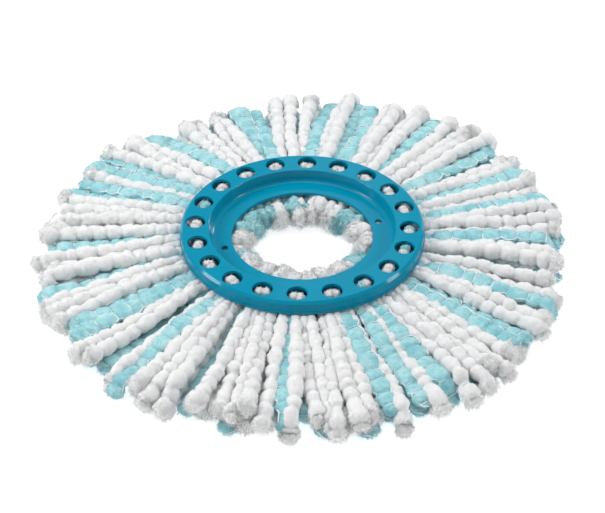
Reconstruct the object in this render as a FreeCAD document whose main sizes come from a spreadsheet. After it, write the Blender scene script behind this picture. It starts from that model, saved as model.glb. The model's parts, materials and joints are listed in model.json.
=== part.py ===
import FreeCAD, Part
import os
import re
import Sketcher

# Replacement head of a spin mop. Two plastic rings hold twenty tufts of microfibre yarn between them.
# Frame: origin on the floor under the centre, +Z up along the rings' axis, +X through the first tuft.
# Lengths are millimetres and angles are degrees.
SIZES = {
    "tuft_count": (20, "tufts, and holes in the rim"),
    "tuft_circle_radius": (66, "circle of the tuft holes"),
    "tuft_hole_radius": (6.2, "hole that a tuft's dome shows in"),
    "rim_top": (25, "height of the rim's flat face above the floor"),
    "wall": (2, "wall of the upper ring"),
    "rim_inner_radius": (57.5, "inner edge of the rim's flat face"),
    "rim_flat_radius": (73.5, "outer edge of the rim's flat face"),
    "rim_outer_radius": (75, "foot of the rim's bevel"),
    "rim_bevel": (1.5, "height of the rim's bevel"),
    "skirt_radius": (75.2, "foot of the skirt"),
    "lip_radius": (75.5, "bottom lip of the skirt"),
    "lip_depth": (2, "height of the bottom lip"),
    "skirt_bottom": (16.5, "underside of the skirt"),
    "recess_radius": (56, "foot of the recess wall"),
    "opening_radius": (43.8, "opening through the flange"),
    "flange_top": (17, "seat of the flange"),
    "locating_radius": (49.3, "circle of the two locating holes"),
    "locating_hole_radius": (2.25, "locating hole"),
    "rim_round": (0.9, "rounding of the rim's inner edge"),
    "recess_round": (2.5, "rounding at the foot of the recess"),
    "lower_top": (7, "top of the lower ring"),
    "lower_bottom": (4, "underside of the lower ring"),
    "lower_outer_radius": (73.5, "outer edge of the lower ring"),
    "lower_inner_radius": (44, "inner edge of the lower ring"),
    "peg_radius": (3, "peg under each tuft"),
    "peg_top": (18, "top of a peg"),
    "post_radius": (1.5, "post between two tufts"),
    "post_play": (0.05, "radial play of a post in its socket"),
    "post_end_play": (0.5, "space above a post in its socket"),
    "socket_wall": (1.1, "wall of a post's socket"),
    "socket_bottom": (18, "underside of a post's socket"),
    "yarn_play": (0.2, "space between the yarn and a ring"),
    "tuft_side_play": (0.4, "half the angle between two tufts"),
    "tuft_outer_radius": (72.6, "outer end of a clamped tuft"),
    "mound_radius": (7.2, "yarn pushed up round a peg"),
    "dome_radius": (4.9, "dome that shows in a tuft hole"),
    "dome_top": (24.2, "top of the dome"),
    "fringe_tip_radius": (25, "inner tip of a short end, on the floor"),
    "fringe_foot_radius": (42.6, "back of a short end, on the floor"),
    "fringe_knee_radius": (36, "where a short end turns down"),
    "fringe_knee_height": (12.5, "height of that turn"),
    "hinge_radius": (77, "where the long strands bend under the skirt"),
    "hinge_height": (11.2, "height of that bend"),
    "knuckle_radius": (3.8, "yarn round the bend"),
    "droop_limit": (45, "how far a fan can hang down"),
    "fan_gap": (0.7, "space between two fans that hang down together"),
    "layer_gap": (0.3, "space between the two layers of strands"),
    "upper_layer_bottom": (6.3, "underside of the upper strands"),
    "upper_layer_shoulder": (14, "top of the upper strands past the bend"),
    "upper_layer_end": (12.6, "top of the upper strands' ends"),
    "shoulder_radius": (97, "where the strands come down to lie flat"),
    "white_end_radius": (165, "ends of the white strands"),
    "turquoise_end_radius": (160, "ends of the turquoise strands"),
    "strand_split_radius": (84, "where the strands part from each other"),
    "strand_end_gap": (1.6, "half the space between two strands' ends"),
    "trim_margin": (10, "how far a cutting outline passes the yarn"),
}
WHITE_STRANDS = 5
TURQUOISE_STRANDS = 3
TURQUOISE_TUFTS = (3, 9, 12, 17)
LOCATING_HOLE_STEPS = (1, 11)

doc = FreeCAD.newDocument("SpinMopHead")
sheet = doc.addObject("Spreadsheet::Sheet", "Sizes")
for row, (alias, (value, meaning)) in enumerate(SIZES.items(), start=1):
    sheet.set(f"A{row}", meaning)
    sheet.set(f"B{row}", str(value))
    sheet.setAlias(f"B{row}", alias)
doc.recompute()


def size(name):
    """A driving dimension, read from the sheet."""
    return float(sheet.get(name))


def from_sheet(formula):
    """A formula with its size names written as the sheet's cells."""
    return re.sub(r"[a-z]\w*", lambda word: "Sizes." + word[0] if word[0] in SIZES else word[0], formula)


def bind(thing, **formulas):
    """Bind an object's properties to formulas of the sheet's sizes."""
    for name, formula in formulas.items():
        thing.setExpression(name, from_sheet(formula))


def new_body(label, step=0):
    """A body of its own, turned by a number of tuft steps about the rings' axis."""
    body = doc.addObject("PartDesign::Body", label)
    body.Label = label
    body.Placement = FreeCAD.Placement(FreeCAD.Vector(), FreeCAD.Rotation(FreeCAD.Vector(0, 0, 1), 0))
    body.setExpression(".Placement.Rotation.Angle", from_sheet(f"{step} * 360 / tuft_count"))
    return body


def new_sketch(body, name, plane):
    """A sketch on one of the body's own planes: XY_Plane, XZ_Plane or YZ_Plane."""
    sketch = body.newObject("Sketcher::SketchObject", f"{body.Name}_{name}")
    origin_plane = [item for item in body.Origin.OriginFeatures if item.Role == plane]
    sketch.AttachmentSupport = [(origin_plane[0], "")]
    sketch.MapMode = "FlatFace"
    return sketch


def place_point(sketch, edge, point, across, up):
    """Hold a sketch point at a place given by two formulas of the sheet's sizes."""
    for kind, axis, formula in (("DistanceX", -2, across), ("DistanceY", -1, up)):
        if sketch.evalExpression(from_sheet(formula)) == 0:
            sketch.addConstraint(Sketcher.Constraint("PointOnObject", edge, point, axis))
        else:
            value = float(sketch.evalExpression(from_sheet(formula)))
            index = sketch.addConstraint(Sketcher.Constraint(kind, -1, 1, edge, point, value))
            sketch.setExpression(f"Constraints[{index}]", from_sheet(formula))


def draw_outline(sketch, corners):
    """Draw a closed outline of straight lines through corners given as pairs of formulas."""
    places = []
    for across, up in corners:
        x = float(sketch.evalExpression(from_sheet(across)))
        y = float(sketch.evalExpression(from_sheet(up)))
        places.append(FreeCAD.Vector(x, y, 0))
    edges = []
    for here, there in zip(places, places[1:] + places[:1]):
        edges.append(sketch.addGeometry(Part.LineSegment(here, there), False))
    for before, after in zip(edges[-1:] + edges[:-1], edges):
        sketch.addConstraint(Sketcher.Constraint("Coincident", before, 2, after, 1))
    for edge, (across, up) in zip(edges, corners):
        place_point(sketch, edge, 1, across, up)


def draw_circle(sketch, across, up, radius):
    """Draw a circle whose centre and radius are formulas of the sheet's sizes."""
    x = float(sketch.evalExpression(from_sheet(across)))
    y = float(sketch.evalExpression(from_sheet(up)))
    r = float(sketch.evalExpression(from_sheet(radius)))
    edge = sketch.addGeometry(Part.Circle(FreeCAD.Vector(x, y, 0), FreeCAD.Vector(0, 0, 1), r), False)
    place_point(sketch, edge, 3, across, up)
    index = sketch.addConstraint(Sketcher.Constraint("Radius", edge, r))
    sketch.setExpression(f"Constraints[{index}]", from_sheet(radius))


def draw_upright_line(sketch, across):
    """Draw a construction line, straight up at a distance from the axis, and return its axis name."""
    x = float(sketch.evalExpression(from_sheet(across)))
    line = Part.LineSegment(FreeCAD.Vector(x, 0, 0), FreeCAD.Vector(x, 1, 0))
    edge = sketch.addGeometry(line, True)
    place_point(sketch, edge, 1, across, "0")
    sketch.addConstraint(Sketcher.Constraint("Vertical", edge))
    sketch.addConstraint(Sketcher.Constraint("DistanceY", edge, 1, edge, 2, 1))
    return "Axis0"


def revolve(body, sketch, axis="V_Axis", angle="360"):
    """Turn a sketch about one of its axes into solid material, evenly to both sides."""
    feature = body.newObject("PartDesign::Revolution", f"{sketch.Name}_turned")
    feature.Profile = sketch
    feature.ReferenceAxis = (sketch, [axis])
    feature.Midplane = True
    bind(feature, Angle=angle)
    doc.recompute()
    return feature


def pad(body, sketch, length, both_sides=False, downward=False):
    """Raise a sketch into solid material."""
    feature = body.newObject("PartDesign::Pad", f"{sketch.Name}_raised")
    feature.Profile = sketch
    feature.Midplane = both_sides
    feature.Reversed = downward
    bind(feature, Length=length)
    doc.recompute()
    return feature


def pocket(body, sketch, depth):
    """Cut a sketch upwards out of the body, and check that it really cut."""
    before = body.Shape.Volume
    feature = body.newObject("PartDesign::Pocket", f"{sketch.Name}_cut")
    feature.Profile = sketch
    feature.Reversed = True
    bind(feature, Length=depth)
    doc.recompute()
    if body.Shape.Volume >= before:
        raise RuntimeError(f"{feature.Name} cuts nothing")
    return feature


def repeat_around(body, features, count):
    """Repeat features around the rings' axis."""
    pattern = body.newObject("PartDesign::PolarPattern", f"{features[0].Name}_around")
    pattern.Originals = features
    axis = [item for item in body.Origin.OriginFeatures if item.Role == "Z_Axis"]
    pattern.Axis = (axis[0], [""])
    pattern.Angle = 360
    bind(pattern, Occurrences=count)
    body.Tip = pattern
    doc.recompute()
    return pattern


def circle_edges(shape, radius, height):
    """Names of a shape's circular edges about the rings' axis with a radius and a height."""
    names = []
    for number, edge in enumerate(shape.Edges, start=1):
        curve = edge.Curve
        if not isinstance(curve, Part.Circle) or abs(curve.Radius - radius) > 0.01:
            continue
        if curve.Center.distanceToPoint(FreeCAD.Vector(0, 0, height)) < 0.01:
            names.append(f"Edge{number}")
    return names


def round_edges(body, base, names, radius):
    """Round some edges of the body's last feature."""
    feature = body.newObject("PartDesign::Fillet", f"{base.Name}_rounded")
    feature.Base = (base, names)
    bind(feature, Radius=radius)
    doc.recompute()
    return feature


def make_upper_ring():
    """Upper ring: rim with the tuft holes, skirt, recess wall and flange, and sockets under the rim."""
    body = new_body("upper_ring")
    section = new_sketch(body, "section", "XZ_Plane")
    draw_outline(section, (
        ("opening_radius", "flange_top - wall"),
        ("opening_radius", "flange_top"),
        ("recess_radius", "flange_top"),
        ("rim_inner_radius", "rim_top"),
        ("rim_flat_radius", "rim_top"),
        ("rim_outer_radius", "rim_top - rim_bevel"),
        ("skirt_radius", "skirt_bottom + lip_depth"),
        ("lip_radius", "skirt_bottom + lip_depth"),
        ("lip_radius", "skirt_bottom"),
        ("lip_radius - wall", "skirt_bottom"),
        ("rim_outer_radius - wall", "rim_top - wall"),
        ("rim_inner_radius + wall", "rim_top - wall"),
        ("recess_radius + wall", "flange_top - wall"),
    ))
    ring = revolve(body, section)
    foot = circle_edges(body.Shape, size("recess_radius"), size("flange_top"))
    ring = round_edges(body, ring, foot, "recess_round")
    edge = circle_edges(body.Shape, size("rim_inner_radius"), size("rim_top"))
    round_edges(body, ring, edge, "rim_round")

    socket = new_sketch(body, "socket", "XY_Plane")
    half_step = "180 / tuft_count"
    place = (f"tuft_circle_radius * cos({half_step})", f"tuft_circle_radius * sin({half_step})")
    draw_circle(socket, *place, "post_radius + post_play + socket_wall")
    bind(socket, **{".AttachmentOffset.Base.z": "socket_bottom"})
    boss = pad(body, socket, "rim_top - wall / 2 - socket_bottom")
    bore = new_sketch(body, "socket_bore", "XY_Plane")
    draw_circle(bore, *place, "post_radius + post_play")
    bore_cut = pocket(body, bore, "rim_top - wall")
    hole = new_sketch(body, "tuft_hole", "XY_Plane")
    draw_circle(hole, "tuft_circle_radius", "0", "tuft_hole_radius")
    hole_cut = pocket(body, hole, "rim_top + wall")
    repeat_around(body, [boss, bore_cut, hole_cut], "tuft_count")

    locating = new_sketch(body, "locating_holes", "XY_Plane")
    for step in LOCATING_HOLE_STEPS:
        angle = f"{step} * 360 / tuft_count"
        place = (f"locating_radius * cos({angle})", f"locating_radius * sin({angle})")
        draw_circle(locating, *place, "locating_hole_radius")
    pocket(body, locating, "rim_top")
    return body


def make_lower_ring():
    """Lower ring: a flat ring with a blunt peg under each tuft hole and a post between each two."""
    body = new_body("lower_ring")
    section = new_sketch(body, "section", "XZ_Plane")
    draw_outline(section, (
        ("lower_inner_radius", "lower_bottom"),
        ("lower_inner_radius", "lower_top"),
        ("lower_outer_radius", "lower_top"),
        ("lower_outer_radius", "lower_bottom"),
    ))
    revolve(body, section)
    peg = new_sketch(body, "peg", "XY_Plane")
    draw_circle(peg, "tuft_circle_radius", "0", "peg_radius")
    bind(peg, **{".AttachmentOffset.Base.z": "lower_bottom"})
    peg_pad = pad(body, peg, "peg_top - lower_bottom")
    post = new_sketch(body, "post", "XY_Plane")
    half_step = "180 / tuft_count"
    place = (f"tuft_circle_radius * cos({half_step})", f"tuft_circle_radius * sin({half_step})")
    draw_circle(post, *place, "post_radius")
    bind(post, **{".AttachmentOffset.Base.z": "lower_bottom"})
    post_pad = pad(body, post, "rim_top - wall - post_end_play - lower_bottom")
    repeat_around(body, [peg_pad, post_pad], "tuft_count")
    return body


def make_clamped_tuft(label, step):
    """One tuft's held part: dome, mound round the peg, layer between the rings, and short inner end."""
    body = new_body(label, step)
    section = new_sketch(body, "section", "XZ_Plane")
    draw_outline(section, (
        ("fringe_tip_radius", "0"),
        ("fringe_knee_radius", "fringe_knee_height"),
        ("lower_inner_radius + wall", "flange_top - wall - yarn_play"),
        ("tuft_outer_radius", "flange_top - wall - yarn_play"),
        ("tuft_outer_radius", "lower_top + yarn_play"),
        ("lower_inner_radius - 2 * yarn_play", "lower_top + yarn_play"),
        ("fringe_foot_radius", "0"),
    ))
    revolve(body, section, angle="360 / tuft_count - 2 * tuft_side_play")
    dome = new_sketch(body, "dome", "XZ_Plane")
    axis = draw_upright_line(dome, "tuft_circle_radius")
    under_rim = "rim_top - wall - yarn_play"
    draw_outline(dome, (
        ("tuft_circle_radius", "flange_top - wall - 1"),
        ("tuft_circle_radius + mound_radius", "flange_top - wall - 1"),
        ("tuft_circle_radius + mound_radius - 1", under_rim),
        ("tuft_circle_radius + dome_radius", under_rim),
        ("tuft_circle_radius + 0.75 * dome_radius", "dome_top - 0.3"),
        ("tuft_circle_radius + 0.4 * dome_radius", "dome_top"),
        ("tuft_circle_radius", "dome_top"),
    ))
    revolve(body, dome, axis=axis)
    peg = new_sketch(body, "peg_hole", "XY_Plane")
    draw_circle(peg, "tuft_circle_radius", "0", "peg_radius + yarn_play")
    pocket(body, peg, "peg_top + yarn_play")
    posts = new_sketch(body, "post_notches", "XY_Plane")
    for side in ("", "-"):
        angle = f"{side}180 / tuft_count"
        place = (f"tuft_circle_radius * cos({angle})", f"tuft_circle_radius * sin({angle})")
        draw_circle(posts, *place, "post_radius + post_play + socket_wall + yarn_play")
    pocket(body, posts, "rim_top")
    return body


def half_width(radius):
    """Formula of half a fan's width at a radius, so that fans that hang down together stay apart."""
    reach = f"hinge_radius + ({radius} - hinge_radius) * cos(droop_limit) - hinge_height * sin(droop_limit)"
    return f"(tan(180 / tuft_count) * ({reach}) - fan_gap / 2)"


def make_strands(label, step, section_corners, knuckle_corner, end_radius, strand_count):
    """One layer of a tuft's long strands: joined at the bend under the skirt, and parted further out."""
    body = new_body(label, step)
    section = new_sketch(body, "section", "XZ_Plane")
    draw_outline(section, section_corners)
    layer = pad(body, section, f"2 * {half_width(end_radius)} + trim_margin", both_sides=True)
    corner = FreeCAD.Vector(size("hinge_radius") - size("knuckle_radius"), 0, size(knuckle_corner[0]))
    corner.z += knuckle_corner[1] * size("knuckle_radius")
    corner_edges = []
    for number, edge in enumerate(layer.Shape.Edges, start=1):
        middle = edge.CenterOfMass
        if FreeCAD.Vector(middle.x, 0, middle.z).distanceToPoint(corner) < 0.01:
            corner_edges.append(f"Edge{number}")
    round_edges(body, layer, corner_edges, "knuckle_radius - 2 * layer_gap")

    plan = new_sketch(body, "plan", "XY_Plane")
    start = "(hinge_radius - trim_margin)"
    end = f"({end_radius} + trim_margin)"
    beyond = f"({half_width(end_radius)} + trim_margin)"
    for side in ("", "-"):
        draw_outline(plan, (
            (start, f"{side}{half_width(start)}"),
            (end, f"{side}{half_width(end)}"),
            (end, f"{side}{beyond}"),
            (start, f"{side}{beyond}"),
        ))
    for gap in range(1, strand_count):
        share = f"{2 * gap - strand_count} / {strand_count}"
        centre = f"{share} * {half_width(end)}"
        draw_outline(plan, (
            ("strand_split_radius", f"{share} * {half_width('strand_split_radius')}"),
            (end, f"{centre} - strand_end_gap"),
            (end, f"{centre} + strand_end_gap"),
        ))
    pocket(body, plan, "rim_top")
    return body


def make_white_strands(label, step):
    """Upper layer of a fan: white chenille yarn."""
    inner = "hinge_radius - knuckle_radius"
    split = "hinge_height + layer_gap / 2"
    corners = (
        (inner, split),
        (inner, "hinge_height + knuckle_radius"),
        ("hinge_radius", "hinge_height + knuckle_radius"),
        ("shoulder_radius", "upper_layer_shoulder"),
        ("white_end_radius", "upper_layer_end"),
        ("white_end_radius", "upper_layer_bottom"),
        ("shoulder_radius", "upper_layer_bottom"),
        ("hinge_radius", split),
    )
    return make_strands(label, step, corners, ("hinge_height", 1), "white_end_radius", WHITE_STRANDS)


def make_turquoise_strands(label, step):
    """Lower layer of a fan: turquoise tape, which lies on the floor."""
    inner = "hinge_radius - knuckle_radius"
    split = "hinge_height - layer_gap / 2"
    corners = (
        (inner, split),
        ("hinge_radius", split),
        ("shoulder_radius", "upper_layer_bottom - layer_gap"),
        ("turquoise_end_radius", "upper_layer_bottom - layer_gap"),
        ("turquoise_end_radius", "0"),
        ("shoulder_radius", "0"),
        ("hinge_radius + knuckle_radius", "hinge_height - knuckle_radius - 1"),
        ("hinge_radius", "hinge_height - knuckle_radius"),
        (inner, "hinge_height - knuckle_radius"),
    )
    end = "turquoise_end_radius"
    return make_strands(label, step, corners, ("hinge_height", -1), end, TURQUOISE_STRANDS)


def make_tuft_group(label, steps):
    """The clamped parts of the tufts of one colour, as one group of separate solids."""
    tufts = [make_clamped_tuft(f"{label}_{step + 1:02d}", step) for step in steps]
    group = doc.addObject("Part::Compound", label)
    group.Label = label
    group.Links = tufts
    doc.recompute()
    return group


tuft_steps = range(int(size("tuft_count")))
subparts = [make_upper_ring(), make_lower_ring()]
white_tufts = [step for step in tuft_steps if step not in TURQUOISE_TUFTS]
subparts.append(make_tuft_group("white_clamped_tufts", white_tufts))
subparts.append(make_tuft_group("turquoise_clamped_tufts", TURQUOISE_TUFTS))
for tuft in tuft_steps:
    subparts.append(make_white_strands(f"white_strands_{tuft + 1:02d}", tuft))
    subparts.append(make_turquoise_strands(f"turquoise_strands_{tuft + 1:02d}", tuft))
doc.recompute()

for item in doc.Objects:
    if {"Invalid", "Error"} & set(item.State):
        raise RuntimeError(f"{item.Name} failed: {item.State}")
for item in subparts:
    if item.Shape.isNull() or not item.Shape.isValid():
        raise RuntimeError(f"{item.Label} has no valid shape")
os.makedirs("parts", exist_ok=True)
for item in subparts:
    item.Shape.exportStep(f"parts/{item.Label}.step")
print(f"{len(subparts)} sub-parts, total volume {sum(item.Shape.Volume for item in subparts) / 1000:.1f} cm3")
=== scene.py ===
import json
import math
import random
import bpy
from mathutils import Matrix, Vector


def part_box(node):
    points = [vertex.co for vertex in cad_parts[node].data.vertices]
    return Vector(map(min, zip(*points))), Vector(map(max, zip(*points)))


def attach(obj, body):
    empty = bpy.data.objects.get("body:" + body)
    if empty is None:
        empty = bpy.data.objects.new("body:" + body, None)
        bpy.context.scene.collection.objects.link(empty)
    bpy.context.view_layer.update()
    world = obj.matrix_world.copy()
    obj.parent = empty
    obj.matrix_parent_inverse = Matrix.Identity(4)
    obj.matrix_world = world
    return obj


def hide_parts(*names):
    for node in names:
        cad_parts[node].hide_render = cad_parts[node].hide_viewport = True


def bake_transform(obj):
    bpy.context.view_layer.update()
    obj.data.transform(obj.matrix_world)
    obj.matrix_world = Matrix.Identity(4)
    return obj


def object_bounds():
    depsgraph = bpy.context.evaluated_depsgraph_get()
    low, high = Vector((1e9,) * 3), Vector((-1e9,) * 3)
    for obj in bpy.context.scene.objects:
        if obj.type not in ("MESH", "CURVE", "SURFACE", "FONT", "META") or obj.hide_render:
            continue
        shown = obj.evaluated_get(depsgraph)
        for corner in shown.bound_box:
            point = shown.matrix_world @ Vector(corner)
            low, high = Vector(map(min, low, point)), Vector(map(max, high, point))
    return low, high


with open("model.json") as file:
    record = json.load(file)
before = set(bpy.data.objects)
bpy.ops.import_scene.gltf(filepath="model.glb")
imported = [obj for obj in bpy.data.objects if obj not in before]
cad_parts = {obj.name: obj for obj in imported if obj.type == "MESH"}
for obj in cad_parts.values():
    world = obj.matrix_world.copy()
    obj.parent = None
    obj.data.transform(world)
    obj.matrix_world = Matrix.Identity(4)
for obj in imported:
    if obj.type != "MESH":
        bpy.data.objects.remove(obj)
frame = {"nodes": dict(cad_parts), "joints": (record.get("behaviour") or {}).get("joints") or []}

# The studio. The head lies on a plain white floor, seen from above, in soft light from a large sheet
# overhead and two softboxes at its sides, which also draw the streaks on the glossy ring.
cad_low, cad_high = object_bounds()
rim_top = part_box("upper_ring")[1].z
scene = bpy.context.scene
scene.view_settings.view_transform = "Standard"

camera_azimuth = math.radians(2.882)
camera_height = math.radians(38.593)
camera_roll = math.radians(-0.3305)
camera_distance = 0.9767
camera_aside = 0.00014
camera_lowered = 0.01986
camera_back = Vector((
    math.sin(camera_azimuth) * math.cos(camera_height),
    -math.cos(camera_azimuth) * math.cos(camera_height),
    math.sin(camera_height),
))
camera_right = Vector((math.cos(camera_azimuth), math.sin(camera_azimuth), 0))
camera_up = camera_back.cross(camera_right)
turned_right = camera_right * math.cos(camera_roll) + camera_up * math.sin(camera_roll)
turned_up = camera_up * math.cos(camera_roll) - camera_right * math.sin(camera_roll)
camera = bpy.data.objects.new("camera", bpy.data.cameras.new("camera"))
camera.data.sensor_width = 36
camera.data.lens = 94.46
camera_place = Matrix((turned_right, turned_up, camera_back)).transposed().to_4x4()
camera_place.translation = (
    Vector((0, 0, rim_top)) + camera_back * camera_distance
    + turned_right * camera_aside - turned_up * camera_lowered
)
camera.matrix_world = camera_place
scene.collection.objects.link(camera)
scene.camera = camera


def soft_light(name, place, size, power):
    """A rectangular soft light that faces the middle of the head."""
    data = bpy.data.lights.new(name, "AREA")
    data.shape = "RECTANGLE"
    data.size, data.size_y = size
    data.energy = power
    light = bpy.data.objects.new(name, data)
    light.location = place
    light.rotation_mode = "QUATERNION"
    light.rotation_quaternion = (-Vector(place)).to_track_quat("-Z", "Y")
    scene.collection.objects.link(light)


soft_light("overhead_sheet", (-0.1, 0.3, 1.3), (1.3, 1.3), 8.6)
soft_light("softbox_left", (-1.15, -0.1, 0.8), (0.36, 0.6), 9.5)
soft_light("softbox_right", (1.15, 0.0, 0.75), (0.24, 0.5), 4.5)
soft_light("panel_back_right", (0.75, 1.1, 0.45), (0.14, 0.3), 2.5)
soft_light("panel_behind", (0.0, 1.2, 0.95), (0.2, 0.5), 0.14)
world = bpy.data.worlds.new("studio_white")
world.use_nodes = True
world.node_tree.nodes["Background"].inputs["Color"].default_value = (1, 1, 1, 1)
world.node_tree.nodes["Background"].inputs["Strength"].default_value = 0.32
scene.world = world


class Wire:
    """A socket of a node tree. Arithmetic on it adds Math nodes to its tree."""

    def __init__(self, tree, node, socket):
        self.tree, self.node, self.socket = tree, node, socket

    def other(self, name):
        """Another output of the same node."""
        return Wire(self.tree, self.node, self.node.outputs[name])

    def __add__(self, value):
        return self.tree.maths("ADD", self, value)

    def __radd__(self, value):
        return self.tree.maths("ADD", value, self)

    def __sub__(self, value):
        return self.tree.maths("SUBTRACT", self, value)

    def __rsub__(self, value):
        return self.tree.maths("SUBTRACT", value, self)

    def __mul__(self, value):
        return self.tree.maths("MULTIPLY", self, value)

    def __rmul__(self, value):
        return self.tree.maths("MULTIPLY", value, self)

    def __truediv__(self, value):
        return self.tree.maths("DIVIDE", self, value)

    def __pow__(self, value):
        return self.tree.maths("POWER", self, value)


class Tree:
    """A node tree, of a material or of a geometry recipe."""

    def __init__(self, node_tree):
        self.nodes, self.links = node_tree.nodes, node_tree.links

    def add(self, kind, settings=None, sockets=None, out=0):
        """Add a node: its settings first, then the values or links of its sockets."""
        node = self.nodes.new(kind)
        for name, value in (settings or {}).items():
            setattr(node, name, value)
        for name, value in (sockets or {}).items():
            socket = node.inputs[name]
            if isinstance(name, str) and not socket.enabled:
                socket = [item for item in node.inputs if item.name == name and item.enabled][0]
            if isinstance(value, Wire):
                self.links.new(value.socket, socket)
            else:
                socket.default_value = value
        output = node.outputs[out] if len(node.outputs) else None
        if output is not None and not output.enabled:
            output = [item for item in node.outputs if item.enabled][0]
        return Wire(self, node, output)

    def maths(self, operation, *values):
        return self.add("ShaderNodeMath", {"operation": operation}, dict(enumerate(values)))

    def vectors(self, operation, *values):
        return self.add("ShaderNodeVectorMath", {"operation": operation}, dict(enumerate(values)))

    def scaled(self, vector, factor):
        sockets = {"Vector": vector, "Scale": factor}
        return self.add("ShaderNodeVectorMath", {"operation": "SCALE"}, sockets)

    def noise(self, place, scale, detail=2.0, roughness=0.5, out=0):
        sockets = {"Vector": place, "Scale": scale, "Detail": detail, "Roughness": roughness}
        return self.add("ShaderNodeTexNoise", {}, sockets, out)

    def blend_colours(self, factor, first, second, kind="MIX"):
        """Mix two colours by a factor."""
        node = self.nodes.new("ShaderNodeMix")
        node.data_type, node.blend_type = "RGBA", kind
        for index, value in ((0, factor), (6, first), (7, second)):
            if isinstance(value, Wire):
                self.links.new(value.socket, node.inputs[index])
            else:
                node.inputs[index].default_value = value
        return Wire(self, node, node.outputs[2])

    def between(self, value, low, high, to_low=0.0, to_high=1.0):
        """Map a value from one span to another, and hold it inside."""
        settings = {"clamp": True, "interpolation_type": "SMOOTHSTEP"}
        spans = {"From Min": low, "From Max": high, "To Min": to_low, "To Max": to_high}
        return self.add("ShaderNodeMapRange", settings, {"Value": value, **spans})


def new_material(name, **numbers):
    """A material with a Principled shader. The numbers that are even all over go on its own sockets."""
    material = bpy.data.materials.new(name)
    material.use_nodes = True
    shader = material.node_tree.nodes["Principled BSDF"]
    for socket, value in numbers.items():
        shader.inputs[socket.replace("_", " ")].default_value = value
    return material, Tree(material.node_tree), shader


floor_material, floor_tree, floor_shader = new_material("studio_floor", Roughness=0.9)
floor_shader.inputs["Base Color"].default_value = (0.72, 0.72, 0.72, 1)
floor_shader.inputs["Emission Color"].default_value = (1, 1, 1, 1)
floor_shader.inputs["Emission Strength"].default_value = 0.7
floor_half = 4.0
floor_level = cad_low.z - 0.0004
corners = [(x * floor_half, y * floor_half, floor_level) for x, y in ((-1, -1), (1, -1), (1, 1), (-1, 1))]
floor_mesh = bpy.data.meshes.new("studio_floor")
floor_mesh.from_pydata(corners, [], [(0, 1, 2, 3)])
floor_mesh.materials.append(floor_material)
floor = bpy.data.objects.new("studio_floor", floor_mesh)
scene.collection.objects.link(floor)

# The two clamp rings. Injection-moulded plastic, dyed teal, with a glossy skin that has a faint
# ripple and fine handling scratches; posts of the lower ring are pressed into the upper one.
plastic, tree, shader = new_material("teal_moulded_plastic", IOR=1.49, Specular_IOR_Level=0.2)
place = tree.add("ShaderNodeTexCoord", out="Object")
ripple = tree.noise(place, 55.0, 2.0)
grain = tree.noise(place, 1600.0, 3.0)
rubbed = tree.between(tree.noise(place, 210.0, 4.0, 0.65), 0.55, 0.75)
teal = tree.blend_colours(ripple, (0.0, 0.25, 0.40, 1), (0.0, 0.285, 0.44, 1))
teal = tree.blend_colours(rubbed * 0.12, teal, (0.02, 0.36, 0.5, 1))
gloss = ripple * 0.04 + rubbed * 0.06 + 0.08
relief = ripple * 0.8 + grain * 0.10
bump = tree.add("ShaderNodeBump", {}, {"Strength": 0.10, "Distance": 0.0004, "Height": relief})
tree.links.new(teal.socket, shader.inputs["Base Color"])
tree.links.new(gloss.socket, shader.inputs["Roughness"])
tree.links.new(bump.socket, shader.inputs["Normal"])
for ring in ("upper_ring", "lower_ring"):
    frame["nodes"][ring].material_slots[0].material = plastic

# The long white strands. Microfibre chenille: short pile caught in a twisted core, so that each strand
# is a row of soft beads. The rings clamp its middle, and it lies out over the floor from the skirt.
joints = {joint["child"]: joint for joint in frame["joints"]}
fans = sorted(joints)
pitch = 2 * math.pi / len(fans)
skirt_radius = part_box("upper_ring")[1].x
usual_reach = 0.165
upper_clamp_height = 0.0128
under_clamp_height = 0.0098
white_half = 0.0052
tape_half = 0.0060
tape_flatness = 0.50
white_flatness = 0.92

# W is white yarn, T turquoise tape and "." a gap, in the order they lie round the ring.
upper_order = (
    ".WWTW", "WWTWW", "TWWTW", "WWWTW", "WWWTT", "WWTWW", "WTTWW", "WWTTW", "WWTTW", "TTWWW",
    "WWTWW", "WTWWW", "TTWW.", "WTWWW", ".WWWW", "WTWWW", "WWWTW", "TWTWW", "WWWTT", "WWTWW",
)
under_order = (
    "TWWT", "TWTW", "WTTW", "WTWW", "TWWT", "WTWT", "WTWT", "TWTW", "WWTW", "WTWW",
    "TWTT", "WTTW", "WWTT", "TWTW", "TWTW", "TWTT", "WTWT", "TTWT", "WTWT", "TWTW",
)
lean_of_fan = (0, 0.5, 0.5, 1, -1, -3.5, 1.5, 5, 4.5, 5, 5.5, 5, 3.5, 3.5, 3.5, 2, -1.5, -2.5, -2.3, -3)
reach_of_fan = (
    0.162, 0.164, 0.166, 0.168, 0.165, 0.165, 0.155, 0.159, 0.165, 0.163,
    0.162, 0.163, 0.163, 0.166, 0.165, 0.164, 0.167, 0.167, 0.164, 0.163,
)
share_of_kind = {"W": 1.0, "T": 1.25, ".": 0.8}


def ease(value, low, high):
    """0 below low, 1 above high, and smooth in between."""
    share = min(max((value - low) / (high - low), 0.0), 1.0)
    return share * share * (3 - 2 * share)


def round_the_ring(values, angle):
    """The value at an angle, between the values of the two fans beside it."""
    steps = (angle / pitch) % len(values)
    low = int(steps)
    share = steps - low
    return values[low % len(values)] * (1 - share) + values[(low + 1) % len(values)] * share


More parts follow.
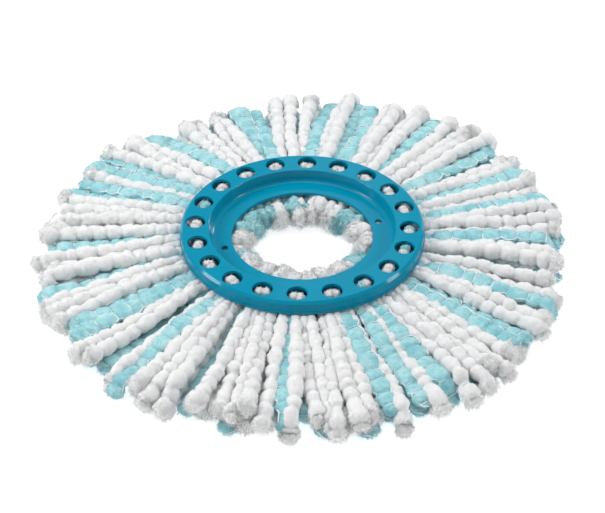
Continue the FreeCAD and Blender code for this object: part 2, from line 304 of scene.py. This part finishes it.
class Strand:
    """One long strand: what it is made of, how thick it is, and how it runs out from the ring."""

    clamp_radius = 0.068
    line_points = 18

    def __init__(self, dice, kind, upper, middle, across, raised):
        self.kind, self.upper, self.raised = kind, upper, raised
        self.middle, self.across = middle, across
        self.phase = dice.random()
        rest_angle = middle + pitch * across
        self.lean = math.radians(round_the_ring(lean_of_fan, rest_angle)) + dice.gauss(0, 0.010)
        self.reach = round_the_ring(reach_of_fan, rest_angle) + dice.uniform(-0.006, 0.0045)
        self.widest = (tape_half if kind == "T" else white_half) * dice.uniform(0.92, 1.06)
        self.sway = dice.uniform(-0.0013, 0.0013)
        self.sway_turn = dice.uniform(0, 2 * math.pi)
        self.curl = dice.choice((0, 0, 1, -1)) * dice.uniform(0.002, 0.005)
        self.splay = dice.choice((0, 0.25)) if kind == "T" else 0.06
        self.droop = dice.uniform(0.0, 0.0015)
        self.crowding = dice.uniform(0.84, 0.90)
        if not upper:
            self.reach -= dice.uniform(0.001, 0.010)
            self.widest *= 1.18 if kind == "T" else 1.10

    def angle(self, radius):
        """Where it lies round the ring, this far out."""
        spread = self.crowding + (1 - self.crowding) * ease(radius, skirt_radius, 0.135)
        free = max(radius - skirt_radius, 0) / radius
        full = (usual_reach - skirt_radius) / usual_reach
        aside = self.sway * math.sin(radius * 60 + self.sway_turn) * ease(radius, skirt_radius, 0.11)
        aside += self.curl * ease(radius, self.reach - 0.035, self.reach + 0.005)
        return self.middle + pitch * self.across * spread + self.lean * free / full + aside / radius

    def half_width(self, radius):
        """It is pinched flat and narrow in the clamp, and swells once it is free."""
        swelling = 0.68 + 0.17 * ease(radius, skirt_radius, 0.083) + 0.15 * ease(radius, 0.083, 0.110)
        return self.widest * swelling * (1 + self.splay * ease(radius, self.reach - 0.02, self.reach))

    def half_height(self, radius):
        return self.half_width(radius) * (tape_flatness if self.kind == "T" else white_flatness)

    def height(self, radius, below):
        """From the height of the clamp down to the floor, or to the strands that it lies on."""
        if not self.upper:
            fall = under_clamp_height - self.half_height(radius)
            return under_clamp_height - fall * ease(radius, skirt_radius, 0.099)
        step = 0.0016 if self.raised else -0.0008
        clamp_height = upper_clamp_height + step * ease(radius, skirt_radius, 0.086)
        rest = self.half_height(radius)
        for strand in below:
            aside = (self.angle(radius) - strand.angle(radius) + math.pi) % (2 * math.pi) - math.pi
            touch = abs(aside) * radius / (self.half_width(radius) + strand.half_width(radius))
            if touch < 1 and radius < strand.reach + 0.004:
                pile = self.half_height(radius) + strand.half_height(radius)
                rest = max(rest, strand.height(radius, ()) + 0.86 * pile * math.sqrt(1 - touch * touch))
        stacked = (0.0012 if self.raised else -0.0010) * (1 - ease(radius, 0.105, 0.150))
        settled = ease(radius, 0.084, 0.128)
        return clamp_height * (1 - settled) + (rest + stacked) * settled

    def line(self, below):
        """The points of its line, each with the strand's half width there."""
        points = []
        for index in range(self.line_points):
            radius = self.clamp_radius + (self.reach - self.clamp_radius) * index / (self.line_points - 1)
            angle = self.angle(radius)
            droop = self.droop * ease(radius, self.reach - 0.02, self.reach)
            height = max(self.height(radius, below) - droop, self.half_height(radius))
            place = (radius * math.cos(angle), radius * math.sin(angle), height)
            points.append((*place, self.half_width(radius)))
        return points


def lay_strands(order, upper, seed):
    """Lay one layer of strands round the ring, fan by fan."""
    dice = random.Random(seed)
    layer = []
    for number, kinds in enumerate(order):
        total = sum(share_of_kind[kind] for kind in kinds)
        edge = 0.0
        for kind in kinds:
            share = share_of_kind[kind]
            across = (edge + share / 2) / total - 0.5 + dice.uniform(-0.012, 0.012)
            edge += share
            if kind != ".":
                raised = len(layer) % 2 == 0
                layer.append((number, Strand(dice, kind, upper, number * pitch, across, raised)))
    return layer


under_layer = lay_strands(under_order, False, 5)
upper_layer = lay_strands(upper_order, True, 8)
fan_strands = [[] for fan in fans]
for number, strand in under_layer:
    fan_strands[number].append((strand, strand.line(())))
for number, strand in upper_layer:
    beside = (number, (number + 1) % len(fans), (number - 1) % len(fans))
    near = [low for low_number, low in under_layer if low_number in beside]
    fan_strands[number].append((strand, strand.line(near)))


def lines_of_kind(number, kind):
    """One fan's lines of one kind of strand, each with its number in the fan and its phase."""
    return [(index, strand.phase, points)
            for index, (strand, points) in enumerate(fan_strands[number]) if strand.kind == kind]


def yarn_lines(name, lines):
    """A mesh of open lines. It carries each point's half width, and each line's number and phase."""
    places, edges, thickness, numbers, phases = [], [], [], [], []
    for number, phase, points in lines:
        for index, (x, y, z, half) in enumerate(points):
            if index:
                edges.append((len(places) - 1, len(places)))
            places.append((x, y, z))
            thickness.append(half)
            numbers.append(number)
            phases.append(phase)
    mesh = bpy.data.meshes.new(name)
    mesh.from_pydata(places, edges, [])
    mesh.attributes.new("thick", "FLOAT", "POINT").data.foreach_set("value", thickness)
    mesh.attributes.new("strand", "INT", "POINT").data.foreach_set("value", numbers)
    mesh.attributes.new("phase", "FLOAT", "POINT").data.foreach_set("value", phases)
    lines_object = bpy.data.objects.new(name, mesh)
    scene.collection.objects.link(lines_object)
    return lines_object


def make_piece(name, lines, recipe_group, **sizes):
    """Run a recipe on lines of yarn, and keep its result as a plain mesh piece."""
    source = yarn_lines(f"{name}_lines", lines)
    modifier = source.modifiers.new("recipe", "NODES")
    modifier.node_group = recipe_group
    for item in recipe_group.interface.items_tree:
        label = item.name.replace(" ", "_")
        if item.in_out == "INPUT" and label in sizes:
            modifier[item.identifier] = sizes[label]
    graph = bpy.context.evaluated_depsgraph_get()
    mesh = bpy.data.meshes.new_from_object(source.evaluated_get(graph), depsgraph=graph)
    mesh.name = name
    bpy.data.objects.remove(source)
    piece = bpy.data.objects.new(name, mesh)
    scene.collection.objects.link(piece)
    return piece


def bend_with_fan(piece):
    """Bake the placement of a piece of long strands into its mesh."""
    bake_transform(piece)


def new_recipe(name, inputs):
    """An empty geometry recipe: it takes lines of yarn and its named sizes, and gives a mesh."""
    group = bpy.data.node_groups.new(name, "GeometryNodeTree")
    group.interface.new_socket("Geometry", in_out="INPUT", socket_type="NodeSocketGeometry")
    for label, (kind, value) in inputs.items():
        socket = group.interface.new_socket(label, in_out="INPUT", socket_type=f"NodeSocket{kind}")
        socket.default_value = value
    group.interface.new_socket("Geometry", in_out="OUTPUT", socket_type="NodeSocketGeometry")
    recipe = Tree(group)
    start = recipe.add("NodeGroupInput")
    return group, recipe, {label: start.other(label) for label in ("Geometry", *inputs)}


def finish_recipe(recipe, geometry, material):
    """End a recipe: make the copies real, press what sinks flat on the floor, and dress the mesh."""
    real = recipe.add("GeometryNodeRealizeInstances", {}, {"Geometry": geometry})
    place = recipe.add("GeometryNodeInputPosition")
    pressed = recipe.add("GeometryNodeSetPosition", {}, {
        "Geometry": real, "Position": recipe.vectors("MAXIMUM", place, (-1.0, -1.0, 0.0002)),
    })
    smooth = recipe.add("GeometryNodeSetShadeSmooth", {}, {"Geometry": pressed})
    dressed = recipe.add("GeometryNodeSetMaterial", {}, {"Geometry": smooth, "Material": material})
    recipe.add("NodeGroupOutput", {}, {"Geometry": dressed})


def smooth_path(recipe, geometry, step):
    """Turn lines of points into smooth curves with evenly spaced points."""
    curve = recipe.add("GeometryNodeMeshToCurve", {}, {"Mesh": geometry})
    curve = recipe.add("GeometryNodeCurveSplineType", {"spline_type": "CATMULL_ROM"}, {"Curve": curve})
    return recipe.add("GeometryNodeResampleCurve", {"mode": "LENGTH"}, {"Curve": curve, "Length": step})


def named(recipe, name, kind="FLOAT"):
    """A named value that the geometry carries."""
    return recipe.add("GeometryNodeInputNamedAttribute", {"data_type": kind}, {"Name": name})


def keep(recipe, geometry, kind="FLOAT", **values):
    """Store values on the geometry's points, for later steps and for the material."""
    for name, value in values.items():
        settings = {"data_type": kind, "domain": "POINT"}
        sockets = {"Geometry": geometry, "Name": name, "Value": value}
        geometry = recipe.add("GeometryNodeStoreNamedAttribute", settings, sockets)
    return geometry


def shifted(recipe, geometry, offset):
    return recipe.add("GeometryNodeSetPosition", {}, {"Geometry": geometry, "Offset": offset})


def jitter(recipe, place, scale, amount):
    """A smooth random vector, up to about the given length."""
    cloud = recipe.noise(place, scale, 1.0, out="Color")
    return recipe.scaled(recipe.vectors("SUBTRACT", cloud, (0.5, 0.5, 0.5)), amount * 2.6)


def rounded_ends(recipe, along, total, thick, start_reach, end_reach):
    """A factor that closes a strand to a round end at both its ends."""
    factor = 1.0
    for distance, reach in ((along, start_reach), (total - along, end_reach)):
        share = 1.0 - recipe.maths("MINIMUM", distance / (thick * reach), 1.0)
        factor = recipe.maths("SQRT", recipe.maths("MAXIMUM", 1.0 - share * share, 0.0004)) * factor
    return factor


def add_fuzz(recipe, mesh, density, length, seed, end_gain):
    """Sow loose fibres where a mesh is free of the clamp. They are longest round its cut end."""
    tip = named(recipe, "tip")
    place = recipe.add("GeometryNodeInputPosition")
    height = recipe.add("ShaderNodeSeparateXYZ", {}, {"Vector": place}).other("Z")
    out = recipe.vectors("LENGTH", recipe.vectors("MULTIPLY", place, (1.0, 1.0, 0.0))).other("Value")
    free = recipe.maths("MAXIMUM", recipe.maths("ABSOLUTE", out - 0.060) - 0.0165, height - 0.0205)
    sown = recipe.add("GeometryNodeDistributePointsOnFaces", {"distribute_method": "RANDOM"}, {
        "Mesh": mesh, "Selection": recipe.maths("GREATER_THAN", free, 0.0),
        "Density": density * (1.0 + tip * end_gain), "Seed": seed,
    })
    fibre = recipe.add("GeometryNodeMeshCone", {"fill_type": "NGON"}, {
        "Vertices": 3, "Side Segments": 1, "Radius Top": 0.0, "Radius Bottom": 0.00012, "Depth": length,
    })
    astray = recipe.add("FunctionNodeRandomValue", {"data_type": "FLOAT_VECTOR"}, {
        "Min": (-0.6, -0.6, -0.6), "Max": (0.6, 0.6, 0.6), "Seed": seed,
    })
    lean = recipe.scaled(named(recipe, "run", "FLOAT_VECTOR"), 0.4 + tip * 1.3)
    towards = recipe.vectors("ADD", recipe.vectors("ADD", sown.other("Normal"), lean), astray)
    turned = recipe.add("FunctionNodeAlignRotationToVector", {"axis": "Z"}, {"Vector": towards})
    spread = recipe.add("FunctionNodeRandomValue", {}, {"Min": 0.4, "Max": 1.3, "Seed": seed})
    girth = 1.0 + tip * 0.6
    reach = spread * (1.0 + tip * 1.3)
    copies = recipe.add("GeometryNodeInstanceOnPoints", {}, {
        "Points": sown, "Instance": fibre, "Rotation": turned,
        "Scale": recipe.add("ShaderNodeCombineXYZ", {}, {"X": girth, "Y": girth, "Z": reach}),
    })
    joined = recipe.add("GeometryNodeJoinGeometry", {}, {"Geometry": copies})
    recipe.links.new(mesh.socket, joined.node.inputs["Geometry"])
    return joined


yarn, tree, shader = new_material(
    "white_microfibre_chenille", Sheen_Weight=0.15, Sheen_Roughness=0.5, Subsurface_Weight=0.5,
    Subsurface_Radius=(1.0, 1.0, 1.0), Subsurface_Scale=0.003, Roughness=0.95, Specular_IOR_Level=0.1,
)


def pile_bump(tree, shader, place, strength):
    """The soft grain of microfibre pile: small clumps, and finer fibres on them."""
    clumps = tree.noise(place, 380.0, 4.0, 0.65)
    fibres = tree.noise(place, 2400.0, 3.0, 0.7)
    bump = tree.add("ShaderNodeBump", {}, {
        "Strength": strength, "Distance": 0.0009, "Height": clumps + fibres * 0.5,
    })
    tree.links.new(bump.socket, shader.inputs["Normal"])
    return clumps


place = tree.add("ShaderNodeTexCoord", out="Object")
bead = tree.add("ShaderNodeAttribute", {"attribute_name": "bead"}, out="Fac")
tone = tree.add("ShaderNodeAttribute", {"attribute_name": "tone"}, out="Fac")
clumps = pile_bump(tree, shader, place, 0.6)
white = tree.blend_colours(clumps, (0.82, 0.82, 0.822, 1), (0.92, 0.92, 0.92, 1))
# Painted shade: where a bead narrows into a pinch, the white is tinted a greyer teal. It stands in for
# the shade and the teal bounce light that fall in the pinch.
white = tree.blend_colours(tree.between(bead, 0.75, 0.1) * 0.25, white, (0.62, 0.72, 0.74, 1))
white = tree.blend_colours(tone * 0.14, white, (0.74, 0.77, 0.81, 1))
tree.links.new(white.socket, shader.inputs["Base Color"])

chenille, recipe, given = new_recipe("beaded_chenille", {
    "Step": ("Float", 0.0008), "Around": ("Int", 16), "Bead Length": ("Float", 0.0108),
    "Pinch": ("Float", 0.36), "Wander": ("Float", 0.0007), "Lumps": ("Float", 0.0011),
    "Fuzz Density": ("Float", 220000.0), "Fuzz Length": ("Float", 0.0014), "Seed": ("Int", 3),
    "Yarn": ("Material", yarn),
})
path = smooth_path(recipe, given["Geometry"], given["Step"])
along = recipe.add("GeometryNodeSplineParameter", out="Length")
total = recipe.add("GeometryNodeSplineLength", out="Length")
place = recipe.add("GeometryNodeInputPosition")
thick = named(recipe, "thick")
phase = named(recipe, "phase")
drift = recipe.noise(place, 40.0, 1.0)
tip = recipe.between(total - along, 0.014, 0.003)
swell = recipe.noise(place, 90.0, 1.0) * 0.34 + 0.83
girth = thick * swell * (1.0 + (tip - 0.3) * 0.3) * rounded_ends(recipe, along, total, thick, 1.0, 1.15)
beads = along / given["Bead Length"] + phase + drift * 2.4
path = keep(recipe, path, beads=beads, tone=phase, tip=tip, girth=girth)
path = keep(recipe, path, "FLOAT_VECTOR", run=recipe.add("GeometryNodeInputTangent"))
path = shifted(recipe, path, jitter(recipe, place, 95.0, given["Wander"]))
round_section = recipe.add("GeometryNodeCurvePrimitiveCircle", {"mode": "RADIUS"}, {
    "Resolution": given["Around"], "Radius": 1.0,
})
mesh = recipe.add("GeometryNodeCurveToMesh", {}, {
    "Curve": path, "Profile Curve": round_section, "Scale": named(recipe, "girth"), "Fill Caps": True,
})
outward = recipe.add("GeometryNodeInputNormal")
slant = (recipe.noise(place, 120.0, 1.0) - 0.5) * 0.55
wave = recipe.maths("SINE", (named(recipe, "beads") + slant) * math.pi)
mesh = keep(recipe, mesh, bead=recipe.maths("ABSOLUTE", wave) ** 0.6)
tightness = given["Pinch"] * (0.5 + recipe.noise(place, 70.0, 1.0))
pinch = tightness * (1.0 - named(recipe, "bead")) * named(recipe, "girth")
tufts = recipe.noise(place, 300.0, 2.0, 0.6) - 0.5
wisps = recipe.noise(place, 700.0, 1.0) - 0.5
heave = given["Lumps"] * (tufts * 2.6 + wisps * (1.3 + named(recipe, "tip") * 2.1)) - pinch
mesh = shifted(recipe, mesh, recipe.scaled(outward, heave))
fuzzy = add_fuzz(recipe, mesh, given["Fuzz Density"], given["Fuzz Length"], given["Seed"], 2.0)
finish_recipe(recipe, fuzzy, given["Yarn"])

for number, fan in enumerate(fans):
    lines = lines_of_kind(number, "W")
    piece = make_piece(f"white_yarn_{number + 1:02d}", lines, chenille, Seed=number)
    bend_with_fan(piece)
    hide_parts(f"white_strands_{number + 1:02d}")

# The turquoise tapes. A flat knitted strip with a short pile, quilted into a row of pillows by the
# thread that locks it. It is clamped with the white strands, and lies among them.
tape, tree, shader = new_material(
    "turquoise_microfibre_tape", Sheen_Weight=0.3, Sheen_Roughness=0.5,
    Roughness=0.92, Specular_IOR_Level=0.15,
)
place = tree.add("ShaderNodeTexCoord", out="Object")
bead = tree.add("ShaderNodeAttribute", {"attribute_name": "bead"}, out="Fac")
tone = tree.add("ShaderNodeAttribute", {"attribute_name": "tone"}, out="Fac")
clumps = pile_bump(tree, shader, place, 0.8)
light = tree.between(clumps, 0.3, 0.7)
turquoise = tree.blend_colours(light, (0.30, 0.66, 0.71, 1), (0.50, 0.82, 0.85, 1))
worn = tree.between(tree.noise(place, 110.0, 3.0), 0.52, 0.72)
turquoise = tree.blend_colours(worn * 0.45, turquoise, (0.66, 0.87, 0.89, 1))
deep = tree.between(tree.noise(place, 75.0, 3.0), 0.52, 0.32)
turquoise = tree.blend_colours(deep * 0.6, turquoise, (0.16, 0.51, 0.60, 1))
# Painted shade: towards each thread crossing, where the pillows pinch in, the turquoise darkens to a deep
# teal. It stands in for the shade that falls in the crease.
turquoise = tree.blend_colours(tree.between(bead, 0.88, 0.1) * 0.5, turquoise, (0.12, 0.43, 0.50, 1))
turquoise = tree.blend_colours(tone * 0.2, turquoise, (0.27, 0.62, 0.72, 1))
tree.links.new(turquoise.socket, shader.inputs["Base Color"])


def quilted_path(recipe, given):
    """The middle line of a tape, with the width and the quilting of each point stored on it."""
    path = smooth_path(recipe, given["Geometry"], given["Step"])
    along = recipe.add("GeometryNodeSplineParameter", out="Length")
    total = recipe.add("GeometryNodeSplineLength", out="Length")
    place = recipe.add("GeometryNodeInputPosition")
    thick = named(recipe, "thick")
    phase = named(recipe, "phase")
    cells = along / given["Cell Length"] + phase + recipe.noise(place, 60.0, 1.0) * 1.6
    quilt = recipe.maths("ABSOLUTE", recipe.maths("SINE", cells * math.pi))
    tip = recipe.between(total - along, 0.012, 0.002)
    swell = recipe.noise(place, 70.0, 1.0) * 0.44 + 0.78
    girth = thick * (1.0 - 0.13 * (1.0 - quilt ** 0.5)) * swell
    girth = girth * rounded_ends(recipe, along, total, thick, 1.0, 1.1)
    path = keep(recipe, path, quilt=quilt, bead=quilt ** 0.45, cells=cells, tone=phase)
    path = keep(recipe, path, tip=tip, girth=girth)
    path = keep(recipe, path, "FLOAT_VECTOR", run=recipe.add("GeometryNodeInputTangent"))
    path = shifted(recipe, path, jitter(recipe, place, 60.0, 0.0006))
    path = recipe.add("GeometryNodeSetCurveNormal", {"mode": "Z_UP"}, {"Curve": path})
    roll = (recipe.noise(place, 30.0, 1.0) - 0.5) * given["Roll"]
    return recipe.add("GeometryNodeSetCurveTilt", {}, {"Curve": path, "Tilt": roll}), place


tape_inputs = {"Step": ("Float", 0.0008), "Cell Length": ("Float", 0.0103), "Roll": ("Float", 1.0)}
quilted_tape, recipe, given = new_recipe("quilted_tape", {
    **tape_inputs, "Around": ("Int", 18), "Seed": ("Int", 1),
})
path, place = quilted_path(recipe, given)
section = recipe.add("GeometryNodeCurvePrimitiveCircle", {"mode": "RADIUS"}, {
    "Resolution": given["Around"], "Radius": 1.0,
})
section = recipe.add("GeometryNodeTransform", {}, {
    "Geometry": section, "Scale": (1.0, tape_flatness, 1.0),
})
mesh = recipe.add("GeometryNodeCurveToMesh", {}, {
    "Curve": path, "Profile Curve": section, "Scale": named(recipe, "girth"), "Fill Caps": True,
})
outward = recipe.add("GeometryNodeInputNormal")
sunk = (1.0 - named(recipe, "bead")) * -0.0013
tufts = (recipe.noise(place, 380.0, 2.0, 0.6) - 0.5) * 0.0016
wisps = (recipe.noise(place, 1200.0, 1.0) - 0.5) * 0.0006
mesh = shifted(recipe, mesh, recipe.scaled(outward, sunk + tufts + wisps))
fuzzy = add_fuzz(recipe, mesh, 160000.0, 0.0010, given["Seed"], 3.0)
finish_recipe(recipe, fuzzy, tape)

for number, fan in enumerate(fans):
    lines = lines_of_kind(number, "T")
    piece = make_piece(f"turquoise_tape_{number + 1:02d}", lines, quilted_tape, Seed=number)
    bend_with_fan(piece)
    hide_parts(f"turquoise_strands_{number + 1:02d}")

# The lock stitching. A thin white polyester thread runs along both edges of each tape in scallops,
# and crosses over at every pillow. It is sewn through the tape, and follows the tape's own path.
thread, tree, shader = new_material("white_polyester_thread", Roughness=0.45, Specular_IOR_Level=0.4)
place = tree.add("ShaderNodeTexCoord", out="Object")
twist = tree.noise(place, 3000.0, 1.0)
pale = tree.blend_colours(twist, (0.78, 0.86, 0.88, 1), (0.95, 0.97, 0.98, 1))
tree.links.new(pale.socket, shader.inputs["Base Color"])
tree.links.new((twist * 0.25 + 0.35).socket, shader.inputs["Roughness"])

lock_stitch, recipe, given = new_recipe("lock_stitch", {
    **tape_inputs, "Thread Radius": ("Float", 0.00026),
})
path, place = quilted_path(recipe, given)
girth = named(recipe, "girth")
quilt = named(recipe, "quilt")
sideways = recipe.add("GeometryNodeInputNormal")
forward = recipe.add("GeometryNodeInputTangent")
across = recipe.vectors("CROSS_PRODUCT", forward, sideways)
across_z = recipe.add("ShaderNodeSeparateXYZ", {}, {"Vector": across}).other("Z")
upward = recipe.scaled(across, recipe.maths("SIGN", across_z))
joined = recipe.add("GeometryNodeJoinGeometry")
for side in (-1.0, 1.0):
    out_to = 0.76 + 0.17 * quilt ** 0.6
    lift = recipe.maths("SQRT", 1.0 - out_to * out_to) * tape_flatness
    out = recipe.scaled(sideways, girth * out_to * side)
    up = recipe.scaled(upward, girth * lift + 0.0001)
    edge = shifted(recipe, path, recipe.vectors("ADD", out, up))
    recipe.links.new(edge.socket, joined.node.inputs["Geometry"])
index = recipe.add("GeometryNodeInputIndex")
before = recipe.add("GeometryNodeFieldAtIndex", {"data_type": "FLOAT", "domain": "POINT"}, {
    "Value": named(recipe, "cells"), "Index": index - 1.0,
})
stepped = recipe.maths("FLOOR", named(recipe, "cells")) - recipe.maths("FLOOR", before)
at_crossing = recipe.maths("COMPARE", stepped, 1.0, 0.2)
crossing = recipe.add("GeometryNodeCurveQuadraticBezier", {}, {
    "Resolution": 6, "Start": (-0.78, 0.0, 0.24), "Middle": (0.0, 0.0, 0.47), "End": (0.78, 0.0, 0.24),
})
turned = recipe.add("FunctionNodeAlignRotationToVector", {"axis": "X"}, {"Vector": sideways})
turned = recipe.add("FunctionNodeAlignRotationToVector", {"axis": "Z", "pivot_axis": "X"}, {
    "Rotation": turned, "Vector": upward,
})
crossings = recipe.add("GeometryNodeInstanceOnPoints", {}, {
    "Points": path, "Selection": at_crossing, "Instance": crossing, "Rotation": turned,
    "Scale": recipe.add("ShaderNodeCombineXYZ", {}, {"X": girth, "Y": girth, "Z": girth}),
})
crossings = recipe.add("GeometryNodeRealizeInstances", {}, {"Geometry": crossings})
recipe.links.new(crossings.socket, joined.node.inputs["Geometry"])
loose = shifted(recipe, joined, jitter(recipe, place, 240.0, 0.0008))
section = recipe.add("GeometryNodeCurvePrimitiveCircle", {"mode": "RADIUS"}, {
    "Resolution": 5, "Radius": given["Thread Radius"],
})
slack = recipe.between(recipe.noise(place, 150.0, 1.0), 0.36, 0.66, 0.05, 1.6)
mesh = recipe.add("GeometryNodeCurveToMesh", {}, {
    "Curve": loose, "Profile Curve": section, "Scale": slack, "Fill Caps": True,
})
finish_recipe(recipe, mesh, thread)

for number, fan in enumerate(fans):
    piece = make_piece(f"stitching_{number + 1:02d}", lines_of_kind(number, "T"), lock_stitch)
    bend_with_fan(piece)

# The folded middle of each tuft. It doubles up over its peg between the rings, and shows as a soft
# mound, most often in two lobes, just under the face of the ring in each of its holes.
hole_radius = 0.066
mound_half = 0.0043
mound_top = 0.0246
turquoise_lobes = ((9, -1), (9, 1), (17, -1), (0, 1), (19, 1))
dice = random.Random(21)
mound_lines = {"W": [], "T": []}
for number in range(len(fans)):
    middle = number * pitch
    outward = Vector((math.cos(middle), math.sin(middle)))
    share = dice.uniform(0.38, 0.62)
    for side, width in ((-1, share), (1, 1 - share)):
        half = mound_half * (0.42 + 0.46 * width)
        kind = "T" if (number, side) in turquoise_lobes else "W"
        top = mound_top + dice.uniform(-0.0009, 0.0)
        spot = outward * (hole_radius + dice.uniform(-0.0008, 0.0004))
        spot += Vector((-outward.y, outward.x)) * side * (mound_half - half)
        points = [(spot.x, spot.y, 0.012 + (top - 0.012) * step / 4, half) for step in range(5)]
        mound_lines[kind].append((len(mound_lines[kind]), dice.random(), points))
for kind, name, material, slot in (
    ("W", "white_tuft_middles", yarn, "white_yarn"),
    ("T", "turquoise_tuft_middles", tape, "turquoise_tape"),
):
    piece = make_piece(
        name, mound_lines[kind], chenille, Yarn=material, Step=0.0006, Bead_Length=0.03, Pinch=0.0,
        Wander=0.0003, Lumps=0.0006, Fuzz_Density=300000.0, Fuzz_Length=0.0005, Seed=41,
    )
    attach(piece, "head")

# The short cut ends of each tuft. They hang from the clamp into the opening, ragged and fluffy, fold
# over the edge of the lower ring, and end on the floor round the free centre.
inner_order = (
    "WW", "WW", "TT", "TW", "WW", "WW", "TW", "TT", "TT", "TT",
    "WW", "WT", "WW", "WW", "WW", "WW", "WW", "WW", "WT", "TW",
)
under_inner_order = "WWTWTTTTTTWTWWWWWWWT"
end_lines = {"W": [], "T": []}


def short_end(kind, angle, tip_radius, knee_height, half):
    """A short cut end, from inside the clamp down over the knee to the floor."""
    sweep = dice.gauss(0, 0.13)
    knee_radius = max(dice.uniform(0.036, 0.041), tip_radius + 0.003)
    points = []
    for radius, height, share in (
        (0.058, 0.0112, 0.55),
        (0.050, 0.0108, 0.72),
        (0.044, knee_height - 0.0012, 0.72),
        (knee_radius, knee_height, 1.0),
        (tip_radius * 0.7 + knee_radius * 0.3, knee_height * 0.66 + 0.0015, 1.05),
        (tip_radius, 0.0056, 1.1),
    ):
        turned = angle + sweep * ease(-radius, -0.046, -tip_radius)
        points.append((radius * math.cos(turned), radius * math.sin(turned), height, half * share))
    end_lines[kind].append((len(end_lines[kind]), dice.random(), points))


for number in range(len(fans)):
    middle = number * pitch
    tip_radius = 0.0322 - 0.0032 * math.sin(middle) + 0.0030 * math.cos(2 * middle)
    for kind, across in zip(inner_order[number], (-0.25, 0.25)):
        angle = middle + pitch * (across + dice.uniform(-0.12, 0.12))
        reach = tip_radius + dice.uniform(-0.0035, 0.0035)
        short_end(kind, angle, reach, dice.uniform(0.0092, 0.0122), dice.uniform(0.0046, 0.0062))
    angle = middle + pitch * dice.uniform(-0.2, 0.2)
    reach = tip_radius + dice.uniform(0.0, 0.005)
    short_end(under_inner_order[number], angle, reach, 0.0078, 0.0050)
for kind, name, node, material, slot in (
    ("W", "white_short_ends", "white_clamped_tufts", yarn, "white_yarn"),
    ("T", "turquoise_short_ends", "turquoise_clamped_tufts", tape, "turquoise_tape"),
):
    piece = make_piece(
        name, end_lines[kind], chenille, Yarn=material, Bead_Length=0.014, Pinch=0.26,
        Wander=0.0014, Lumps=0.0018, Fuzz_Density=330000.0, Fuzz_Length=0.0015, Seed=77,
    )
    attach(piece, "head")
    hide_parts(node)
